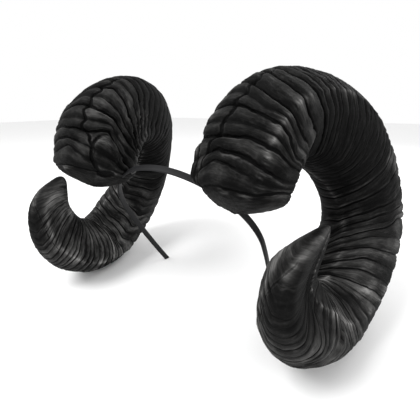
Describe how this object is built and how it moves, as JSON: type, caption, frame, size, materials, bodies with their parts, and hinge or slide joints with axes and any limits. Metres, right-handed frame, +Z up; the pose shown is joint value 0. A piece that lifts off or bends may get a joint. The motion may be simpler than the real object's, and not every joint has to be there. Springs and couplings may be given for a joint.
{
  "type": "ram horns headband",
  "caption": "Costume headband with two curled, ringed ram horns, one on each side of a slim arched band.",
  "frame": {"origin": "on the floor under the middle of the whole headpiece, with the horns' lowest rings and the band's feet at z = 0", "axes": "+X towards the wearer's left horn, the wearer looks along -Y, +Z up"},
  "size_m": [0.2928, 0.1726, 0.1778],
  "materials": {
    "horn": "charcoal painted foam latex with dark grooves and lighter ring crests, satin",
    "band": "black moulded plastic, satin"
  },
  "bodies": {
    "root": {"left_horn": "horn", "right_horn": "horn", "headband": "band"}
  },
  "joints": []
}
